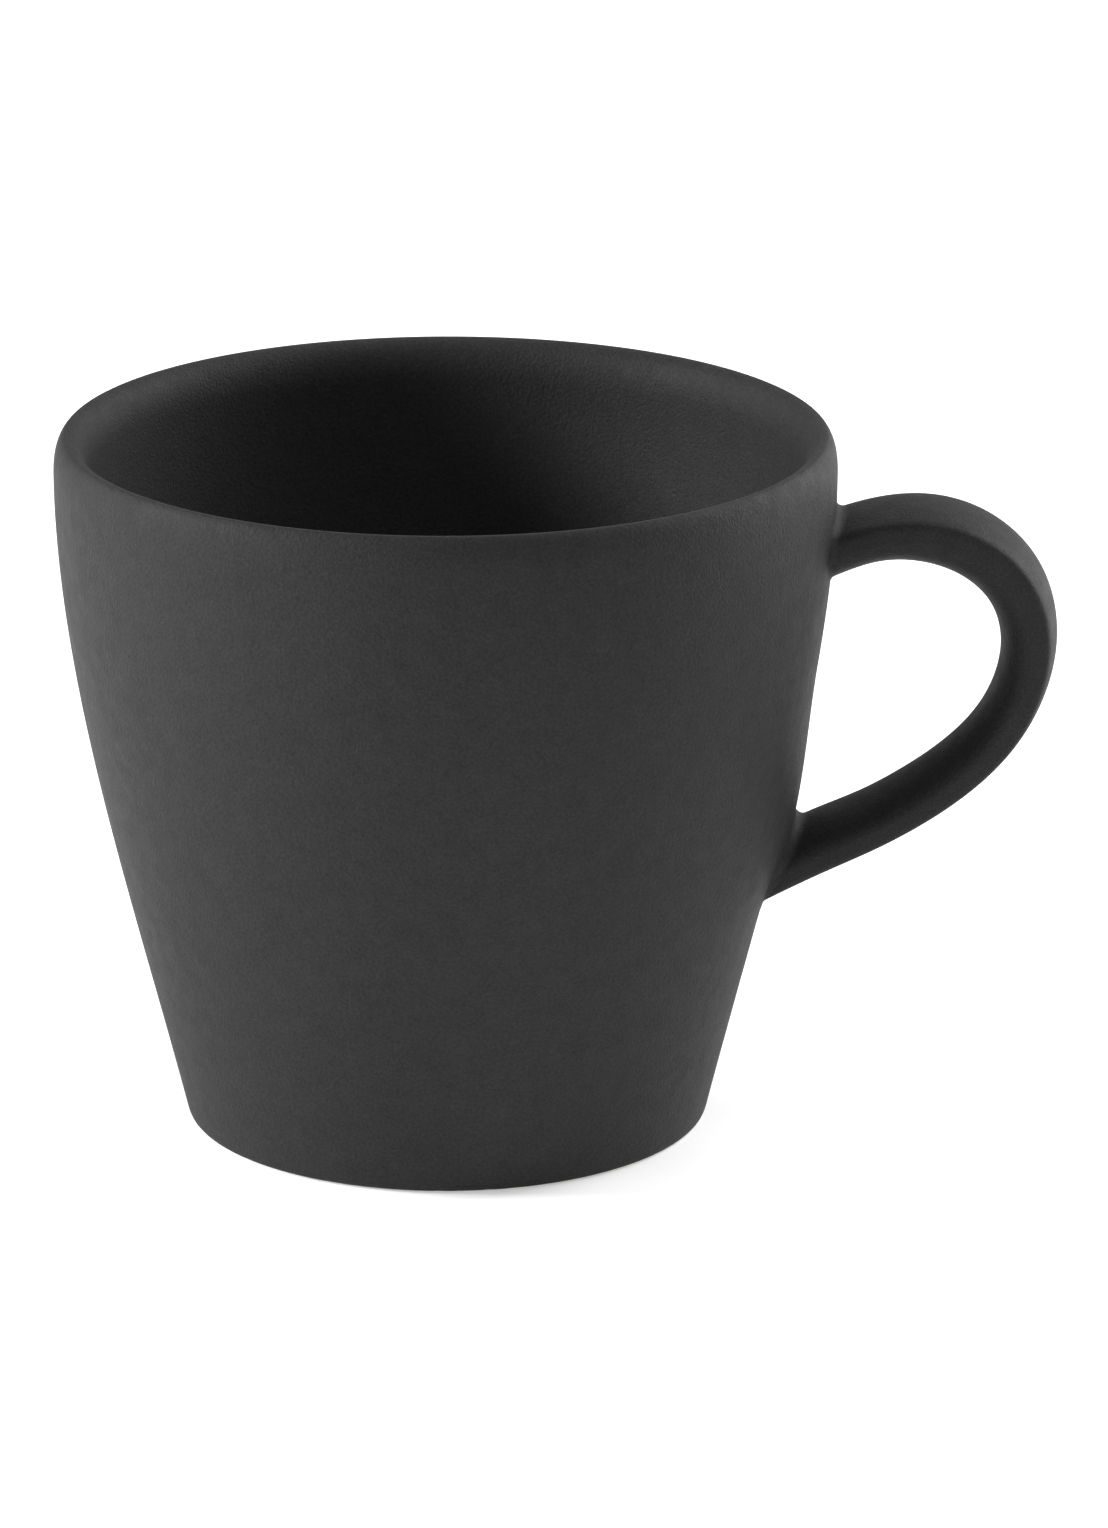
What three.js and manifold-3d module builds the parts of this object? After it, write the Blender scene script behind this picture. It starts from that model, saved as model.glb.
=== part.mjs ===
// A conical ceramic mug with a strap handle, in millimetres, +Z up.
// The mug stands on z = 0, its handle points along +X, and the origin is the middle of its box.
import * as THREE from "three";
import { mergeVertices } from "three/addons/utils/BufferGeometryUtils.js";
import Module from "manifold-3d";

const wasm = await Module();
wasm.setup();

const degrees = THREE.MathUtils.degToRad;

// Cup, outside. Radii are from the cup's own axis.
const HEIGHT = 83.5;
const RIM_RADIUS = 46;
const FOOT_RADIUS = 31; // where the wall would meet the table without its rounding
const FOOT_ROUNDING = 1.6; // length that the rounding takes off the wall and off the foot ring
const WALL_SLOPE = degrees(13.5); // lean of the wall just above the foot
const WALL_EASE = { low: 25.5, high: 25 }; // how far the wall holds its direction at each end
const SHOULDER_HEIGHT = 4.2; // the widest ring lies this far below the rim's crest
const CREST_INSET = 1.4; // and the crest lies this far inside the widest ring

// Cup, inside and underneath.
const LIP = { width: 2.6, height: 5 }; // rounding from the crest into the inside
const INNER_WALL = { lowRadius: 28, lowHeight: 17, ease: 20 };
const FLOOR = { flatRadius: 15, height: 6 };
const FOOT_RING_WIDTH = 3.6;
const RECESS = { depth: 1.8, rounding: 1.5 };

// A gentle swelling of the wall that the lower end of the handle grows out of.
const SWELLING = { depth: 1.2, height: 35, above: 22, below: 10, halfAngle: degrees(40) };

// Handle: a strap bent in the XZ plane along a smooth curve through these points, which are
// (distance from the cup's axis, height).
const STRAP = { width: 14, outerDepth: 3.1, innerDepth: 3.3 }; // depths are from the curve
const CROWN_RADIUS = 24; // the outer face is a shallow crown across the strap
const CREASE = 16; // sharpness of the two creases beside the crown
const SHOULDER_DEPTH = 7; // the rounded square that the crown cuts off along two soft creases
const STRAP_POINTS = [
  [44.1, 70],
  [50.2, 72.1],
  [56.5, 72.5],
  [62.6, 70.5],
  [67.1, 66.1],
  [68.9, 60],
  [67.9, 53.7],
  [65, 48],
  [60.6, 43.4],
  [55.5, 39.6],
  [49.9, 36.4],
  [44.1, 33.7],
  [38.4, 30.8],
];

// Slip joints: the pads of fired slip that hold the handle's two ends on the wall.
const GAP = 0.3; // clearance between neighbouring pieces
const JOINT_THICKNESS = 1.5;
const JOINT_FILLET = 1.5;
const JOINT_LENGTH = 14; // length of the stock that a pad is cut from
const [UPPER_ROOT, LOWER_ROOT] = [0, 1]; // places along the strap's curve

// Fineness of the facets.
const LATHE_SEGMENTS = 64;
const STEPS = { tight: 3, rim: 5, wall: 8 };
const STRAP_SIDES = 28;
const STRAP_STEPS = 40;
const JOINT_STEPS = 36;

const outermost = Math.max(...STRAP_POINTS.map(([distance]) => distance));
const handleReach = outermost + STRAP.outerDepth;
const cupAxisX = (RIM_RADIUS - handleReach) / 2;

// Points of a cubic curve in the (radius, height) plane, without the first one.
function curve(from, leaving, arriving, to, steps) {
  const corners = [from, leaving, arriving, to].map(([radius, z]) => new THREE.Vector2(radius, z));
  return new THREE.CubicBezierCurve(...corners).getPoints(steps).slice(1);
}

// Outer outline of the cup, from the edge of its foot ring up to the rim's crest.
function outerOutline() {
  const [across, up] = [Math.sin(WALL_SLOPE), Math.cos(WALL_SLOPE)];
  const ringEdge = [FOOT_RADIUS - FOOT_ROUNDING, 0];
  const wallStart = [FOOT_RADIUS + FOOT_ROUNDING * across, FOOT_ROUNDING * up];
  const widest = [RIM_RADIUS, HEIGHT - SHOULDER_HEIGHT];
  const crest = [RIM_RADIUS - CREST_INSET, HEIGHT];
  const corner = [FOOT_RADIUS, 0];
  return [
    new THREE.Vector2(...ringEdge),
    ...curve(ringEdge, corner, corner, wallStart, STEPS.tight),
    ...curve(
      wallStart,
      [wallStart[0] + WALL_EASE.low * across, wallStart[1] + WALL_EASE.low * up],
      [RIM_RADIUS, widest[1] - WALL_EASE.high],
      widest,
      STEPS.wall,
    ),
    ...curve(
      widest,
      [RIM_RADIUS, widest[1] + 0.75 * SHOULDER_HEIGHT],
      [crest[0] + 0.25 * CREST_INSET, HEIGHT],
      crest,
      STEPS.rim,
    ),
  ];
}

// Inner outline, from just inside the crest over the lip, down the wall and across the floor.
function innerOutline() {
  const [across, up] = [Math.sin(WALL_SLOPE), Math.cos(WALL_SLOPE)];
  const crest = [RIM_RADIUS - CREST_INSET, HEIGHT];
  const lipEnd = [crest[0] - LIP.width, HEIGHT - LIP.height];
  const wallEnd = [INNER_WALL.lowRadius, INNER_WALL.lowHeight];
  const floorEdge = [FLOOR.flatRadius, FLOOR.height];
  const cornerHeight = wallEnd[1] - FLOOR.height;
  return [
    ...curve(
      crest,
      [crest[0] - LIP.width / 2, HEIGHT],
      [lipEnd[0], lipEnd[1] + 0.6 * LIP.height],
      lipEnd,
      STEPS.rim,
    ),
    ...curve(
      lipEnd,
      [lipEnd[0], lipEnd[1] - INNER_WALL.ease],
      [wallEnd[0] + INNER_WALL.ease * across, wallEnd[1] + INNER_WALL.ease * up],
      wallEnd,
      STEPS.wall,
    ),
    ...curve(
      wallEnd,
      [wallEnd[0] - 0.6 * cornerHeight * across, wallEnd[1] - 0.6 * cornerHeight * up],
      [floorEdge[0] + 0.5 * (wallEnd[0] - floorEdge[0]), FLOOR.height],
      floorEdge,
      STEPS.rim,
    ),
    new THREE.Vector2(0, FLOOR.height),
  ];
}

// Outline of the underside, from the axis across the recess to the inside of the foot ring.
function undersideOutline() {
  const ringInside = FOOT_RADIUS - FOOT_ROUNDING - FOOT_RING_WIDTH;
  const roofEdge = [ringInside - RECESS.rounding, RECESS.depth];
  const corner = [ringInside, RECESS.depth];
  return [
    new THREE.Vector2(0, RECESS.depth),
    new THREE.Vector2(...roofEdge),
    ...curve(roofEdge, corner, corner, [ringInside, 0], STEPS.tight),
  ];
}

// How far the swelling under the handle lifts the outer wall, by angle from +X and by height.
function swelling(angle, z) {
  const rise = z - SWELLING.height;
  const alongWall = rise / (rise > 0 ? SWELLING.above : SWELLING.below);
  const roundWall = angle / SWELLING.halfAngle;
  if (Math.abs(alongWall) >= 1 || Math.abs(roundWall) >= 1) return 0;
  const fade = Math.cos((Math.PI / 2) * alongWall) * Math.cos((Math.PI / 2) * roundWall);
  return SWELLING.depth * fade ** 2;
}

// Turns an outline round the Z axis. The points from index first up to index end are on the
// outer wall, and follow the swelling.
function turn(points, first, end) {
  const geometry = new THREE.LatheGeometry(points, LATHE_SEGMENTS);
  geometry.rotateX(Math.PI / 2);
  const position = geometry.attributes.position;
  for (let i = 0; i < position.count; i += 1) {
    const place = i % points.length;
    if (place < first || place >= end) continue;
    const [x, y] = [position.getX(i), position.getY(i)];
    const radius = Math.hypot(x, y);
    const scale = (radius + swelling(Math.atan2(y, x), position.getZ(i))) / radius;
    position.setXY(i, x * scale, y * scale);
  }
  return geometry;
}

function cupGeometry() {
  const underside = undersideOutline();
  const outside = outerOutline();
  const points = [...underside, ...outside, ...innerOutline()];
  return turn(points, underside.length, underside.length + outside.length);
}

// The whole space inside the cup's outer wall, with that wall moved out by a distance.
function filledCup(distance) {
  const outside = outerOutline().map((point) => new THREE.Vector2(point.x + distance, point.y));
  const points = [new THREE.Vector2(0, 0), ...outside, new THREE.Vector2(0, HEIGHT)];
  return turn(points, 1, points.length - 1);
}

const wallOutline = outerOutline();

// Radius of the outer wall at an angle and height.
function wallRadius(angle, z) {
  const above = Math.max(wallOutline.findIndex((point) => point.y > z), 1);
  const [low, high] = [wallOutline[above - 1], wallOutline[above]];
  const share = THREE.MathUtils.clamp((z - low.y) / (high.y - low.y), 0, 1);
  return THREE.MathUtils.lerp(low.x, high.x, share) + swelling(angle, z);
}

// The strap's section: half an ellipse towards the fingers, and a crowned face outside.
function strapSection() {
  const points = Array.from({ length: STRAP_SIDES }, (_, i) => {
    const angle = (2 * Math.PI * (i + 0.5)) / STRAP_SIDES;
    const [across, inward] = [Math.cos(angle), Math.sin(angle)];
    if (inward > 0) {
      return new THREE.Vector2((STRAP.width / 2) * across, STRAP.innerDepth * inward);
    }
    const side = (2 * Math.abs(across)) / STRAP.width;
    const square = (side ** 4 + (-inward / SHOULDER_DEPTH) ** 4) ** (-1 / 4);
    const bend = across ** 2 / (2 * CROWN_RADIUS);
    const root = Math.sqrt(inward ** 2 + 4 * bend * STRAP.outerDepth);
    const crown = (2 * STRAP.outerDepth) / (root - inward);
    const reach = (square ** -CREASE + crown ** -CREASE) ** (-1 / CREASE);
    return new THREE.Vector2(reach * across, reach * inward);
  });
  return new THREE.Shape(points);
}

// The strap's centreline: out of the wall and up, round the outermost point, and back down.
const strapPath = new THREE.CatmullRomCurve3(
  STRAP_POINTS.map(([x, z]) => new THREE.Vector3(x, 0, z)),
  false,
  "centripetal",
);

function strapGeometry() {
  return new THREE.ExtrudeGeometry(strapSection(), {
    steps: STRAP_STEPS,
    extrudePath: strapPath,
  });
}

// A straight length of strap at one end of the handle, flared where it comes near the wall.
function flaredEnd(end) {
  const geometry = new THREE.ExtrudeGeometry(strapSection(), {
    depth: JOINT_LENGTH,
    steps: JOINT_STEPS,
    bevelEnabled: false,
  });
  const tangent = strapPath.getTangent(end);
  const along = tangent.clone().multiplyScalar(Math.sign(tangent.x));
  const inward = new THREE.Vector3(0, 1, 0).cross(tangent);
  const across = inward.clone().cross(along);
  const start = strapPath.getPoint(end).addScaledVector(along, -JOINT_LENGTH / 3);
  geometry.applyMatrix4(new THREE.Matrix4().makeBasis(across, inward, along).setPosition(start));
  const position = geometry.attributes.position;
  for (let i = 0; i < position.count; i += 1) {
    const vertex = new THREE.Vector3().fromBufferAttribute(position, i);
    const wall = wallRadius(Math.atan2(vertex.y, vertex.x), vertex.z);
    const distance = Math.max(Math.hypot(vertex.x, vertex.y) - wall, GAP);
    const short = Math.max(JOINT_FILLET - distance, 0);
    const growth = JOINT_FILLET - Math.sqrt(JOINT_FILLET ** 2 - short ** 2);
    const outward = vertex.clone().sub(start);
    outward.addScaledVector(along, -outward.dot(along)).normalize();
    vertex.addScaledVector(outward, growth);
    position.setXYZ(i, vertex.x, vertex.y, vertex.z);
  }
  return geometry;
}

function toSolid(geometry) {
  const bare = geometry.clone();
  bare.deleteAttribute("normal");
  bare.deleteAttribute("uv");
  const merged = mergeVertices(bare);
  return new wasm.Manifold(
    new wasm.Mesh({
      numProp: 3,
      vertProperties: new Float32Array(merged.attributes.position.array),
      triVerts: new Uint32Array(merged.index.array),
    }),
  );
}

function toGeometry(solid) {
  const mesh = solid.getMesh();
  const geometry = new THREE.BufferGeometry();
  geometry.setAttribute("position", new THREE.BufferAttribute(mesh.vertProperties, 3));
  geometry.setIndex(new THREE.BufferAttribute(mesh.triVerts, 1));
  geometry.computeVertexNormals();
  return geometry;
}

// The handle stops one gap short of its two joints.
function handleGeometry() {
  const keptClear = toSolid(filledCup(GAP + JOINT_THICKNESS + GAP));
  return toGeometry(toSolid(strapGeometry()).subtract(keptClear));
}

// A joint follows the wall, one gap outside it.
function jointGeometry(end) {
  const near = toSolid(filledCup(GAP));
  const far = toSolid(filledCup(GAP + JOINT_THICKNESS));
  return toGeometry(toSolid(flaredEnd(end)).intersect(far).subtract(near));
}

// Matt black glaze.
function glaze(color, roughness) {
  return new THREE.MeshStandardMaterial({ color, roughness, metalness: 0 });
}

const mug = new THREE.Group();
mug.position.x = cupAxisX;

function addPiece(name, geometry, material) {
  const piece = new THREE.Mesh(geometry, material);
  piece.name = name;
  mug.add(piece);
}

addPiece("cup_body", cupGeometry(), glaze(0x2e2e2f, 0.62));
addPiece("handle", handleGeometry(), glaze(0x2c2c2d, 0.62));
addPiece("upper_slip_joint", jointGeometry(UPPER_ROOT), glaze(0x303031, 0.66));
addPiece("lower_slip_joint", jointGeometry(LOWER_ROOT), glaze(0x303031, 0.66));

export default mug;
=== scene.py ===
"""A matt ceramic mug with a strap handle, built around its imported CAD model.

Metres, +Z up. The mug stands on z = 0 and its handle points along +X.
"""

import math

import bmesh
import bpy
import numpy as np
from mathutils import Matrix, Vector


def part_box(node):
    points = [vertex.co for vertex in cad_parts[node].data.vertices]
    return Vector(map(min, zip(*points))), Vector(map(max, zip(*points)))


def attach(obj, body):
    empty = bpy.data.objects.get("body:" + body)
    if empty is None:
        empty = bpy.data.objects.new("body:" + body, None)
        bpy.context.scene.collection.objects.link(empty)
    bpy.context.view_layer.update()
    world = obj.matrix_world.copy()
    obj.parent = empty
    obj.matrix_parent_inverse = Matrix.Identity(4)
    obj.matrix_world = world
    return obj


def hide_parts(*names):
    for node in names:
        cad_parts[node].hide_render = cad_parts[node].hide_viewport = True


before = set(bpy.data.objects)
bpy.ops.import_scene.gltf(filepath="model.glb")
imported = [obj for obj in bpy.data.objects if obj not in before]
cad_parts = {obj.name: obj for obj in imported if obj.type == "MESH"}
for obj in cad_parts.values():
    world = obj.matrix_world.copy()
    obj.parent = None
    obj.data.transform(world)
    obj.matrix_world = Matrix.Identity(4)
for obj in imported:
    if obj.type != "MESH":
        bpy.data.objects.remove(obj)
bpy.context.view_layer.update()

MM = 0.001

# The cup's axis, rim and height come from its CAD node.
cup_low, cup_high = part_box("cup_body")
AXIS_X = (cup_low.x + cup_high.x) / 2
RIM_RADIUS = (cup_high.x - cup_low.x) / 2
HEIGHT = cup_high.z

# Cup, outside. Radii are from the cup's own axis.
FOOT_RADIUS = 31 * MM
FOOT_ROUNDING = 1.6 * MM
WALL_SLOPE = math.radians(13.5)
WALL_EASE_LOW = 25.5 * MM
WALL_EASE_HIGH = 25 * MM
SHOULDER_HEIGHT = 4.2 * MM
CREST_INSET = 1.4 * MM

# Cup, inside and underneath.
LIP_WIDTH = 2.6 * MM
LIP_HEIGHT = 5 * MM
INNER_LOW_RADIUS = 28 * MM
INNER_LOW_HEIGHT = 17 * MM
INNER_EASE = 20 * MM
FLOOR_FLAT_RADIUS = 15 * MM
FLOOR_HEIGHT = 6 * MM
FOOT_RING_WIDTH = 3.6 * MM
RING_INNER_ROUNDING = 0.8 * MM
RECESS_DEPTH = 1.8 * MM
RECESS_ROUNDING = 1.5 * MM

# The swelling of the wall that the lower end of the handle grows out of.
SWELL_DEPTH = 1.2 * MM
SWELL_HEIGHT = 35 * MM
SWELL_ABOVE = 22 * MM
SWELL_BELOW = 10 * MM
SWELL_HALF_ANGLE = math.radians(40)

# Handle: a strap along a smooth curve through these points. Each is (distance from the cup's
# axis, height, share of the full thickness), in millimetres but for the share.
STRAP_POINTS = (
    (44.10, 70.02, 0.991),
    (50.16, 72.11, 0.963),
    (56.51, 72.52, 1.066),
    (62.56, 70.52, 1.117),
    (67.10, 66.10, 1.090),
    (68.88, 60.02, 1.018),
    (67.95, 53.71, 0.945),
    (65.01, 48.05, 0.896),
    (60.62, 43.40, 0.881),
    (55.46, 39.60, 0.883),
    (49.90, 36.42, 0.891),
    (44.10, 33.71, 0.929),
    (38.42, 30.75, 0.901),
)
STRAP_HALF_WIDTH = 7.0 * MM
CROWN_DEPTH = 3.1 * MM  # from the curve out to the crown of the outer face
CROWN_RADIUS = 24 * MM
INNER_DEPTH = 3.5 * MM  # from the curve in to the middle of the inner face
INNER_SQUARENESS = 2.0
SIDE_DEPTH = 7.0 * MM  # the superellipse that the crowned face cuts off
SIDE_SQUARENESS = 4.0
CREASE_SHARPNESS = 16
ROOT_FILLET = 1.0 * MM

# Fineness of the meshes.
CUP_SEGMENTS = 240
STRAP_SIDES = 96
STRAP_ROWS = 150
FILLET_ROWS = 10
FOOT_STEPS = 8
WALL_STEPS = 44
RIM_STEPS = 14
INNER_WALL_STEPS = 30
WALL_TABLE_FINENESS = 6
SECTION_SAMPLES = 2881
CURVE_SAMPLES = 801

# The strap's ends run straight on, so that they cross the wall.
RUN_ON = 8 * MM
RUN_ON_NEAREST = 0.05 * MM
RUN_ON_SAMPLES = 120

# Where the fillets of slip meet the wall.
FILLET_EDGE_DEPTH = 0.01 * MM  # their visible edges lie this far under the wall
BURIED_DEPTH = 0.8 * MM  # and their hidden ends this much deeper


# ---------------------------------------------------------------- curves


def cubic(start, leaving, arriving, end, steps):
    """Points of a cubic Bezier curve, without the first one."""
    t = np.linspace(0, 1, steps + 1)[1:, None]
    a, b, c, d = (np.array(p, float) for p in (start, leaving, arriving, end))
    return (1 - t) ** 3 * a + 3 * (1 - t) ** 2 * t * b + 3 * (1 - t) * t * t * c + t**3 * d


def outer_outline(fine=1.0):
    """(radius, height) of the outside, from the edge of the foot ring up to the rim's crest."""
    across, up = math.sin(WALL_SLOPE), math.cos(WALL_SLOPE)
    ring_edge = (FOOT_RADIUS - FOOT_ROUNDING, 0)
    corner = (FOOT_RADIUS, 0)
    wall = (FOOT_RADIUS + FOOT_ROUNDING * across, FOOT_ROUNDING * up)
    widest = (RIM_RADIUS, HEIGHT - SHOULDER_HEIGHT)
    crest = (RIM_RADIUS - CREST_INSET, HEIGHT)
    return np.vstack(
        [
            [ring_edge],
            cubic(ring_edge, corner, corner, wall, int(FOOT_STEPS * fine)),
            cubic(
                wall,
                (wall[0] + WALL_EASE_LOW * across, wall[1] + WALL_EASE_LOW * up),
                (RIM_RADIUS, widest[1] - WALL_EASE_HIGH),
                widest,
                int(WALL_STEPS * fine),
            ),
            cubic(
                widest,
                (RIM_RADIUS, widest[1] + 0.75 * SHOULDER_HEIGHT),
                (crest[0] + 0.25 * CREST_INSET, HEIGHT),
                crest,
                int(RIM_STEPS * fine),
            ),
        ]
    )


def inner_outline():
    """(radius, height) of the inside, from just inside the crest down to the floor's middle."""
    across, up = math.sin(WALL_SLOPE), math.cos(WALL_SLOPE)
    crest = (RIM_RADIUS - CREST_INSET, HEIGHT)
    lip_end = (crest[0] - LIP_WIDTH, HEIGHT - LIP_HEIGHT)
    wall_end = (INNER_LOW_RADIUS, INNER_LOW_HEIGHT)
    floor_edge = (FLOOR_FLAT_RADIUS, FLOOR_HEIGHT)
    drop = 0.6 * (INNER_LOW_HEIGHT - FLOOR_HEIGHT)
    flat = [(r * FLOOR_FLAT_RADIUS, FLOOR_HEIGHT) for r in (0.75, 0.5, 0.25)]
    return np.vstack(
        [
            cubic(
                crest,
                (crest[0] - LIP_WIDTH / 2, HEIGHT),
                (lip_end[0], lip_end[1] + 0.6 * LIP_HEIGHT),
                lip_end,
                RIM_STEPS,
            ),
            cubic(
                lip_end,
                (lip_end[0], lip_end[1] - INNER_EASE),
                (wall_end[0] + INNER_EASE * across, wall_end[1] + INNER_EASE * up),
                wall_end,
                INNER_WALL_STEPS,
            ),
            cubic(
                wall_end,
                (wall_end[0] - drop * across, wall_end[1] - drop * up),
                ((wall_end[0] + floor_edge[0]) / 2, FLOOR_HEIGHT),
                floor_edge,
                RIM_STEPS,
            ),
            flat,
        ]
    )


def underside_outline():
    """(radius, height) of the underside, from near its middle out to the foot ring."""
    ring_inside = FOOT_RADIUS - FOOT_ROUNDING - FOOT_RING_WIDTH
    roof_edge = (ring_inside - RECESS_ROUNDING, RECESS_DEPTH)
    corner = (ring_inside, RECESS_DEPTH)
    side_end = (ring_inside, RING_INNER_ROUNDING)
    ring_start = (ring_inside + RING_INNER_ROUNDING, 0)
    return np.vstack(
        [
            [(r * roof_edge[0], RECESS_DEPTH) for r in (0.25, 0.5, 0.75, 1)],
            cubic(roof_edge, corner, corner, side_end, 8),
            cubic(side_end, (ring_inside, 0), (ring_inside, 0), ring_start, 5),
        ]
    )


def swelling(angle, z):
    """How far the swelling under the handle lifts the outer wall."""
    rise = z - SWELL_HEIGHT
    along = np.clip(np.where(rise > 0, rise / SWELL_ABOVE, rise / SWELL_BELOW), -1, 1)
    around = np.clip(angle / SWELL_HALF_ANGLE, -1, 1)
    fade = np.cos(math.pi / 2 * along) * np.cos(math.pi / 2 * around)
    return SWELL_DEPTH * fade**2


WALL_TABLE = outer_outline(WALL_TABLE_FINENESS)


def outside_wall(points):
    """How far points (from the cup's axis) lie outside the outer wall, along the radius."""
    p = np.asarray(points, float)
    radius = np.interp(p[..., 2], WALL_TABLE[:, 1], WALL_TABLE[:, 0])
    angle = np.arctan2(p[..., 1], p[..., 0])
    return np.hypot(p[..., 0], p[..., 1]) - radius - swelling(angle, p[..., 2])


def unit(v):
    v = np.asarray(v, float)
    return v / np.linalg.norm(v, axis=-1, keepdims=True)


def wall_normal(points):
    """Unit normals of the outer wall near points."""
    h = 0.02 * MM
    steps = np.eye(3) * h
    return unit(
        np.stack([outside_wall(points + s) - outside_wall(points - s) for s in steps], -1)
    )


def onto_wall(points, depth=0.0):
    """Points moved along the wall's normal until they lie at a depth under its surface."""
    for _ in range(4):
        n = wall_normal(points)
        points = points - n * (outside_wall(points) + depth)[..., None]
    return points


# ---------------------------------------------------------------- meshes


def mesh_piece(name, vertices, faces, normals=None):
    """A smooth-shaded object, moved from the cup's axis into the row frame."""
    mesh = bpy.data.meshes.new(name)
    moved = np.asarray(vertices, float) + (AXIS_X, 0, 0)
    mesh.from_pydata(moved.tolist(), [], faces)
    bm = bmesh.new()
    bm.from_mesh(mesh)
    bmesh.ops.recalc_face_normals(bm, faces=bm.faces)
    bm.to_mesh(mesh)
    bm.free()
    mesh.shade_smooth()
    if normals is not None:
        mesh.normals_split_custom_set_from_vertices(np.asarray(normals, float).tolist())
    piece = bpy.data.objects.new(name, mesh)
    bpy.context.scene.collection.objects.link(piece)
    return piece


def ring_faces(rows, sides):
    """Quads between neighbouring rings of a grid whose rings are closed."""
    faces = []
    for i in range(rows - 1):
        for k in range(sides):
            n = (k + 1) % sides
            faces.append((i * sides + k, i * sides + n, (i + 1) * sides + n, (i + 1) * sides + k))
    return faces


def cup_shell():
    """The cup as one closed surface of revolution, with the swelling under the handle."""
    underside, outside, inside = underside_outline(), outer_outline(), inner_outline()
    outline = np.vstack([underside, outside, inside])
    rows = len(outline)
    angles = np.linspace(0, 2 * math.pi, CUP_SEGMENTS, endpoint=False)
    radius = np.repeat(outline[:, :1], CUP_SEGMENTS, 1)
    z = np.repeat(outline[:, 1:], CUP_SEGMENTS, 1)
    signed = np.where(angles > math.pi, angles - 2 * math.pi, angles)[None]
    first, end = len(underside), len(underside) + len(outside)
    radius[first:end] += swelling(signed, z[first:end])
    grid = np.stack([radius * np.cos(angles), radius * np.sin(angles), z], -1)
    vertices = np.vstack([grid.reshape(-1, 3), [(0, 0, RECESS_DEPTH), (0, 0, FLOOR_HEIGHT)]])
    faces = ring_faces(rows, CUP_SEGMENTS)
    low_hub, high_hub = rows * CUP_SEGMENTS, rows * CUP_SEGMENTS + 1
    last = (rows - 1) * CUP_SEGMENTS
    for k in range(CUP_SEGMENTS):
        n = (k + 1) % CUP_SEGMENTS
        faces += [(low_hub, n, k), (high_hub, last + k, last + n)]
    return mesh_piece("cup_shell", vertices, faces)


def strap_section():
    """The strap's section as (across, outward) points, evenly spaced round its outline.

    A rounded shape, cut off by the shallow crown of the outer face along a soft crease.
    """
    angle = np.linspace(0, 2 * math.pi, SECTION_SAMPLES)
    c, s = np.cos(angle), np.sin(angle)
    power = np.where(s >= 0, SIDE_SQUARENESS, INNER_SQUARENESS)
    depth = np.where(s >= 0, SIDE_DEPTH, INNER_DEPTH)
    rounded = ((np.abs(c) / STRAP_HALF_WIDTH) ** power + (np.abs(s) / depth) ** power) ** (
        -1 / power
    )
    bend = c**2 / (2 * CROWN_RADIUS) + 1e-9
    crowned = (np.sqrt(s**2 + 4 * bend * CROWN_DEPTH) - s) / (2 * bend)
    nearer = np.minimum(rounded, crowned)
    blend = (nearer / rounded) ** CREASE_SHARPNESS + (nearer / crowned) ** CREASE_SHARPNESS
    reach = nearer * blend ** (-1 / CREASE_SHARPNESS)
    x, y = reach * c, reach * s
    run = np.concatenate([[0], np.cumsum(np.hypot(np.diff(x), np.diff(y)))])
    even = np.linspace(0, run[-1], STRAP_SIDES, endpoint=False)
    return np.interp(even, run, x), np.interp(even, run, y)


def natural_spline(knots, values, places):
    """Values at places on the natural cubic spline through values at knots."""
    count = len(knots)
    gap = np.diff(knots)
    matrix = np.eye(count)
    right = np.zeros((count, values.shape[1]))
    slope = np.diff(values, axis=0) / gap[:, None]
    for i in range(1, count - 1):
        matrix[i, i - 1 : i + 2] = gap[i - 1], 2 * (gap[i - 1] + gap[i]), gap[i]
        right[i] = 6 * (slope[i] - slope[i - 1])
    curvature = np.linalg.solve(matrix, right)
    i = np.clip(np.searchsorted(knots, places) - 1, 0, count - 2)
    h = gap[i][:, None]
    before, after = (places - knots[i])[:, None], (knots[i + 1] - places)[:, None]
    return (
        curvature[i] * after**3 / (6 * h)
        + curvature[i + 1] * before**3 / (6 * h)
        + (values[i] / h - curvature[i] * h / 6) * after
        + (values[i + 1] / h - curvature[i + 1] * h / 6) * before
    )


def strap_centreline():
    """Points, unit tangents and thickness share along the strap, run on past both ends."""
    table = np.array(STRAP_POINTS) * (MM, MM, 1)
    knots = np.concatenate([[0], np.cumsum(np.hypot(*np.diff(table[:, :2], axis=0).T))])
    fine = natural_spline(knots, table, np.linspace(0, knots[-1], CURVE_SAMPLES))
    points, share = fine[:, :2], fine[:, 2]
    run_on = np.linspace(RUN_ON, RUN_ON_NEAREST, RUN_ON_SAMPLES)[:, None]
    before = points[0] - run_on * unit(points[1] - points[0])
    after = points[-1] + run_on[::-1] * unit(points[-1] - points[-2])
    points = np.vstack([before, points, after])
    first, last = [share[0]] * RUN_ON_SAMPLES, [share[-1]] * RUN_ON_SAMPLES
    share = np.concatenate([first, share, last])
    return points, unit(np.gradient(points, axis=0)), share


def strap_lines():
    """The strap's surface as long lines: an array of (step along the strap, side, xyz)."""
    points, tangents, share = strap_centreline()
    across, through = strap_section()
    outward = np.stack([-tangents[:, 1], tangents[:, 0]], -1)
    offset = share[:, None] * through[None]
    x = points[:, :1] + outward[:, :1] * offset
    z = points[:, 1:] + outward[:, 1:] * offset
    y = np.broadcast_to(across, x.shape)
    return np.stack([x, y, z], -1)


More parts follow.
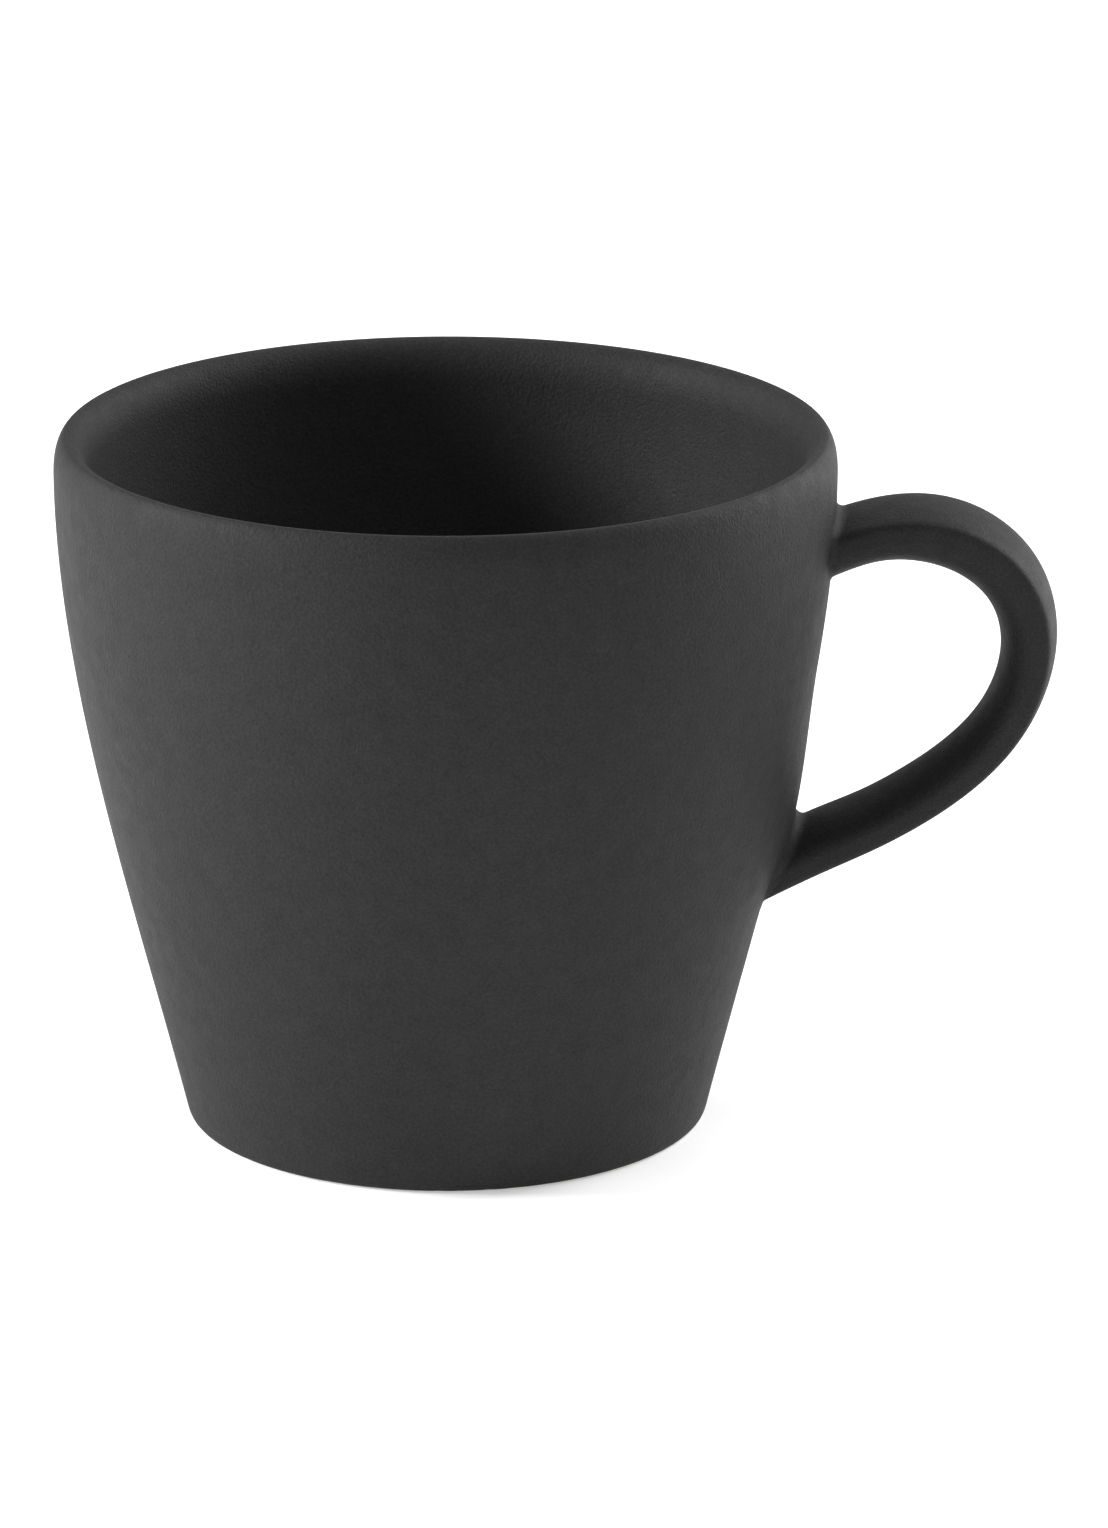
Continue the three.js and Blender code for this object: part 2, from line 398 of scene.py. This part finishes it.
def root_border(lines, from_start):
    """The fillet of one root: its first place on each line, its rows, edge normals, hidden end.

    A ball of the fillet's radius, rolled round the root, touches strap and wall at equal
    distances from the place where the two surfaces meet.
    """
    steps = np.arange(len(lines))
    outside = outside_wall(lines)
    half = len(lines) // 2
    crossing = []
    for k in range(lines.shape[1]):
        side = outside[:half, k] if from_start else outside[half:, k][::-1]
        last_inside = np.nonzero(side < 0)[0].max()
        share = side[last_inside] / (side[last_inside] - side[last_inside + 1])
        place = last_inside + share
        crossing.append(place if from_start else len(lines) - 1 - place)
    crossing = np.array(crossing)

    def at(place):
        return np.stack(
            [
                [np.interp(p, steps, lines[:, k, axis]) for axis in range(3)]
                for k, p in enumerate(place)
            ]
        )

    way = 1 if from_start else -1
    meet = at(crossing)
    direction = unit(at(crossing + 4 * way) - meet)
    seam = unit(np.roll(meet, -1, 0) - np.roll(meet, 1, 0))
    middle = meet.mean(0)
    normal = wall_normal(meet)
    climb = unit(direction - (direction * seam).sum(-1, keepdims=True) * seam)
    spread = np.cross(seam, normal)
    spread *= np.sign(((meet - middle) * spread).sum(-1, keepdims=True))
    spread = unit(spread - (spread * normal).sum(-1, keepdims=True) * normal)
    corner = np.arccos(np.clip((climb * spread).sum(-1), -1, 1))
    touch = ROOT_FILLET / np.tan(corner / 2)
    skew = np.clip((climb * direction).sum(-1), 0.5, 1)
    speed = np.linalg.norm(at(crossing + way) - meet, axis=-1)
    border = crossing + way * touch / skew / speed
    start = at(border)
    leave = unit(at(border - way) - start)
    end = onto_wall(meet + spread * touch[:, None], FILLET_EDGE_DEPTH)
    end_normal = wall_normal(end)
    arrive = unit(spread - (spread * end_normal).sum(-1, keepdims=True) * end_normal)
    pull = (4 / 3 * np.tan((math.pi - corner) / 4) * ROOT_FILLET)[:, None]
    rows = [start]
    for t in np.linspace(0, 1, FILLET_ROWS + 1)[1:]:
        rows.append(
            (1 - t) ** 3 * start
            + 3 * (1 - t) ** 2 * t * (start + pull * leave)
            + 3 * (1 - t) * t * t * (end - pull * arrive)
            + t**3 * end
        )
    buried = end - BURIED_DEPTH * end_normal
    return border, np.array(rows), end_normal, buried


def grid_normals(grid):
    """Unit normals of a grid of closed rings, pointing out of the tube."""
    along = np.gradient(grid, axis=0)
    around = np.roll(grid, -1, 1) - np.roll(grid, 1, 1)
    normals = unit(np.cross(around, along))
    outward = grid - grid.mean(1, keepdims=True)
    if (normals * outward).sum() < 0:
        normals = -normals
    return normals


def tube_piece(name, grid, normals):
    """A closed tube from a grid of rings, with a flat cap on each end."""
    rows, sides = grid.shape[:2]
    faces = ring_faces(rows, sides)
    faces.append(tuple(range(sides)))
    faces.append(tuple((rows - 1) * sides + k for k in range(sides)))
    return mesh_piece(name, grid.reshape(-1, 3), faces, normals.reshape(-1, 3))


def handle_pieces():
    """The strap and the fillets of slip at its two roots."""
    lines = strap_lines()
    upper_border, upper_fillet, upper_normal, upper_buried = root_border(lines, True)
    lower_border, lower_fillet, lower_normal, lower_buried = root_border(lines, False)
    steps = np.arange(len(lines))
    share = np.linspace(0, 1, STRAP_ROWS)[:, None]
    places = upper_border[None] * (1 - share) + lower_border[None] * share
    strap = np.empty((STRAP_ROWS, lines.shape[1], 3))
    for k in range(lines.shape[1]):
        for axis in range(3):
            strap[:, k, axis] = np.interp(places[:, k], steps, lines[:, k, axis])
    whole = np.vstack([upper_fillet[:0:-1], strap, lower_fillet[1:]])
    normals = grid_normals(whole)
    normals[0], normals[-1] = upper_normal, lower_normal
    handle = tube_piece(
        "strap_handle",
        strap,
        normals[FILLET_ROWS : FILLET_ROWS + STRAP_ROWS],
    )
    upper = tube_piece(
        "upper_slip_fillet",
        np.vstack([upper_buried[None], whole[: FILLET_ROWS + 1]]),
        np.vstack([upper_normal[None], normals[: FILLET_ROWS + 1]]),
    )
    lower = tube_piece(
        "lower_slip_fillet",
        np.vstack([whole[-FILLET_ROWS - 1 :], lower_buried[None]]),
        np.vstack([normals[-FILLET_ROWS - 1 :], lower_normal[None]]),
    )
    return handle, upper, lower


# ---------------------------------------------------------------- materials


class Nodes:
    """A short way to write a node tree."""

    def __init__(self, tree):
        self.tree = tree
        tree.nodes.clear()

    def add(self, kind, **values):
        node = self.tree.nodes.new(kind)
        for key, value in values.items():
            setattr(node, key, value)
        return node

    def link(self, source, target):
        self.tree.links.new(source, target)

    def noise(self, place, scale, detail=3.0, roughness=0.5, distortion=0.0):
        node = self.add("ShaderNodeTexNoise")
        self.link(place, node.inputs["Vector"])
        node.inputs["Scale"].default_value = scale
        node.inputs["Detail"].default_value = detail
        node.inputs["Roughness"].default_value = roughness
        node.inputs["Distortion"].default_value = distortion
        return node.outputs["Fac"]

    def remap(self, value, low, high, to_low, to_high, smooth=False):
        node = self.add("ShaderNodeMapRange", clamp=True)
        if smooth:
            node.interpolation_type = "SMOOTHSTEP"
        self.link(value, node.inputs["Value"])
        for name, number in (
            ("From Min", low),
            ("From Max", high),
            ("To Min", to_low),
            ("To Max", to_high),
        ):
            node.inputs[name].default_value = number
        return node.outputs["Result"]

    def math(self, operation, a, b):
        node = self.add("ShaderNodeMath", operation=operation)
        for socket, value in zip(node.inputs, (a, b)):
            if isinstance(value, (int, float)):
                socket.default_value = value
            else:
                self.link(value, socket)
        return node.outputs[0]

    def mix(self, factor, a, b):
        """Colour mix. a and b are grey levels, colours or sockets."""
        node = self.add("ShaderNodeMix", data_type="RGBA")
        self.link(factor, node.inputs["Factor"])
        for name, value in (("A", a), ("B", b)):
            socket = [s for s in node.inputs if s.name == name and s.type == "RGBA"][0]
            if isinstance(value, tuple):
                socket.default_value = (*value, 1)
            else:
                self.link(value, socket)
        return [s for s in node.outputs if s.type == "RGBA"][0]

    def bump(self, height, distance, under=None):
        node = self.add("ShaderNodeBump")
        node.inputs["Strength"].default_value = 1.0
        node.inputs["Distance"].default_value = distance
        self.link(height, node.inputs["Height"])
        if under is not None:
            self.link(under, node.inputs["Normal"])
        return node.outputs["Normal"]


# The glaze. Noise scales are in waves per metre.
GLAZE_DARK = (0.0152, 0.0153, 0.0157)
GLAZE_LIGHT = (0.0280, 0.0282, 0.0286)
BARE_CLAY = (0.30, 0.285, 0.265)
BARE_LINE = 0.18 * MM  # the foot ring is wiped free of glaze below this height
BARE_LINE_WAVE = 0.12 * MM
BARE_LINE_BLUR = 0.06 * MM
ROUGHNESS = (0.60, 0.70)
SPECULAR_LEVEL = 0.16
CLAY_EXTRA_ROUGHNESS = 0.3
MOTTLE_SCALE = 330
SPECKLE_SCALE = 3000
MOTTLE_SHARE, SPECKLE_SHARE = 0.18, 0.82
GRAIN_SCALE = 2900
GRAIN_DEPTH = 0.11 * MM
PEEL_SCALE = 900
PEEL_DEPTH = 0.015 * MM


def glaze_material(name, with_foot):
    """Matt dark glaze with a fine grain, wiped off the foot ring if it has one."""
    material = bpy.data.materials.new(name)
    material.use_nodes = True
    n = Nodes(material.node_tree)
    place = n.add("ShaderNodeTexCoord").outputs["Object"]
    mottle = n.noise(place, MOTTLE_SCALE, 3, 0.5, 0.3)
    speckle = n.noise(place, SPECKLE_SCALE, 2, 0.6)
    grain = n.noise(place, GRAIN_SCALE, 3, 0.6)
    peel = n.noise(place, PEEL_SCALE, 2, 0.5)
    tone = n.math(
        "ADD",
        n.math("MULTIPLY", mottle, MOTTLE_SHARE),
        n.math("MULTIPLY", speckle, SPECKLE_SHARE),
    )
    colour = n.mix(n.remap(tone, 0.32, 0.68, 0, 1), GLAZE_DARK, GLAZE_LIGHT)
    rough = n.remap(n.noise(place, 420, 3, 0.6), 0.3, 0.7, *ROUGHNESS)
    if with_foot:
        height = n.add("ShaderNodeSeparateXYZ")
        n.link(place, height.inputs[0])
        wave = n.noise(place, 500, 3, 0.6)
        ragged = n.remap(wave, 0.3, 0.7, -BARE_LINE_WAVE, BARE_LINE_WAVE)
        level = n.math("ADD", height.outputs["Z"], ragged)
        low, high = BARE_LINE - BARE_LINE_BLUR, BARE_LINE + BARE_LINE_BLUR
        bare = n.remap(level, low, high, 1, 0, True)
        clay = n.mix(n.noise(place, 1800, 4, 0.7), tuple(0.8 * c for c in BARE_CLAY), BARE_CLAY)
        colour = n.mix(bare, colour, clay)
        rough = n.math("ADD", rough, n.math("MULTIPLY", bare, CLAY_EXTRA_ROUGHNESS))
    shader = n.add("ShaderNodeBsdfPrincipled")
    shader.inputs["Specular IOR Level"].default_value = SPECULAR_LEVEL
    shader.inputs["IOR"].default_value = 1.5
    n.link(colour, shader.inputs["Base Color"])
    n.link(rough, shader.inputs["Roughness"])
    wavy = n.bump(peel, PEEL_DEPTH)
    n.link(n.bump(grain, GRAIN_DEPTH, wavy), shader.inputs["Normal"])
    output = n.add("ShaderNodeOutputMaterial")
    n.link(shader.outputs[0], output.inputs["Surface"])
    return material


FLOOR_GLOW = 0.33  # a light table, so that the shadows stay faint


def floor_material():
    material = bpy.data.materials.new("pale_floor")
    material.use_nodes = True
    shader = material.node_tree.nodes["Principled BSDF"]
    shader.inputs["Base Color"].default_value = (0.86, 0.86, 0.86, 1)
    shader.inputs["Roughness"].default_value = 0.9
    shader.inputs["Specular IOR Level"].default_value = 0.1
    shader.inputs["Emission Color"].default_value = (1, 1, 1, 1)
    shader.inputs["Emission Strength"].default_value = FLOOR_GLOW
    return material


# ---------------------------------------------------------------- the mug

body_glaze = glaze_material("matt_glaze_body", with_foot=True)
strap_glaze = glaze_material("matt_glaze_handle", with_foot=False)

cup = cup_shell()
handle, upper_fillet, lower_fillet = handle_pieces()
for piece, node, material in (
    (cup, "cup_body", body_glaze),
    (handle, "handle", strap_glaze),
    (upper_fillet, "upper_slip_joint", strap_glaze),
    (lower_fillet, "lower_slip_joint", strap_glaze),
):
    piece.data.materials.append(material)
    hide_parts(node)
    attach(piece, "root")

# ---------------------------------------------------------------- studio

VIEW_TURN = math.radians(2)  # the handle is turned this far towards the camera
VIEW_PITCH = 0.30606
VIEW_ROLL = 0.0016
CAMERA_PLACE = Vector((0.2771, -20, 7.248)) * RIM_RADIUS  # from the cup's axis, before the turn
SENSOR = 36.0
LENS = 191.5

turn = Matrix.Rotation(VIEW_TURN, 4, "Z")
axis_shift = Matrix.Translation((AXIS_X, 0, 0))
camera = bpy.data.objects.new("camera", bpy.data.cameras.new("camera"))
camera.data.sensor_width = SENSOR
camera.data.lens = LENS
camera.data.clip_start = 0.05
camera.data.clip_end = 200
camera.matrix_world = (
    axis_shift
    @ turn
    @ Matrix.Translation(CAMERA_PLACE)
    @ Matrix.Rotation(math.pi / 2 - VIEW_PITCH, 4, "X")
    @ Matrix.Rotation(VIEW_ROLL, 4, "Z")
)
bpy.context.scene.collection.objects.link(camera)
bpy.context.scene.camera = camera

floor_mesh = bpy.data.meshes.new("floor")
FLOOR_HALF = 8.0
FLOOR_DROP = 0.05 * MM
corners = [(-1, -1), (1, -1), (1, 1), (-1, 1)]
floor_mesh.from_pydata(
    [(FLOOR_HALF * x, FLOOR_HALF * y, -FLOOR_DROP) for x, y in corners], [], [(0, 1, 2, 3)]
)
floor = bpy.data.objects.new("floor", floor_mesh)
floor.data.materials.append(floor_material())
bpy.context.scene.collection.objects.link(floor)


# Lights: name, azimuth and elevation in degrees, side in metres, power in watts.
LIGHTS = (
    ("key_left", 180, 25, 0.3, 12.8),
    ("low_left", 210, 8, 0.5, 3.0),
    ("back_right", 30, 35, 0.5, 6.8),
    ("low_right", 30, 8, 0.5, 5.4),
    ("back", 90, 35, 0.5, 0.9),
    ("high_right", 0, 62, 0.5, 2.1),
)
LIGHT_DISTANCE = 1.0
WORLD_STRENGTH = 0.33


def softbox(name, azimuth, elevation, side, power):
    """A square soft light. Azimuth 0 is to the photographer's right, 90 behind the mug."""
    light = bpy.data.lights.new(name, "AREA")
    light.shape = "SQUARE"
    light.size = side
    light.energy = power
    lamp = bpy.data.objects.new(name, light)
    target = Vector((AXIS_X, 0, 0.5 * HEIGHT))
    angle = math.radians(azimuth) + VIEW_TURN
    rise = math.radians(elevation)
    away = Vector(
        (math.cos(angle) * math.cos(rise), math.sin(angle) * math.cos(rise), math.sin(rise))
    )
    lamp.location = target + away * LIGHT_DISTANCE
    lamp.rotation_euler = away.to_track_quat("Z", "Y").to_euler()
    bpy.context.scene.collection.objects.link(lamp)


for light in LIGHTS:
    softbox(*light)

world = bpy.data.worlds.new("studio")
world.use_nodes = True
world.node_tree.nodes["Background"].inputs["Color"].default_value = (1, 1, 1, 1)
world.node_tree.nodes["Background"].inputs["Strength"].default_value = WORLD_STRENGTH
bpy.context.scene.world = world
bpy.context.scene.view_settings.view_transform = "Standard"
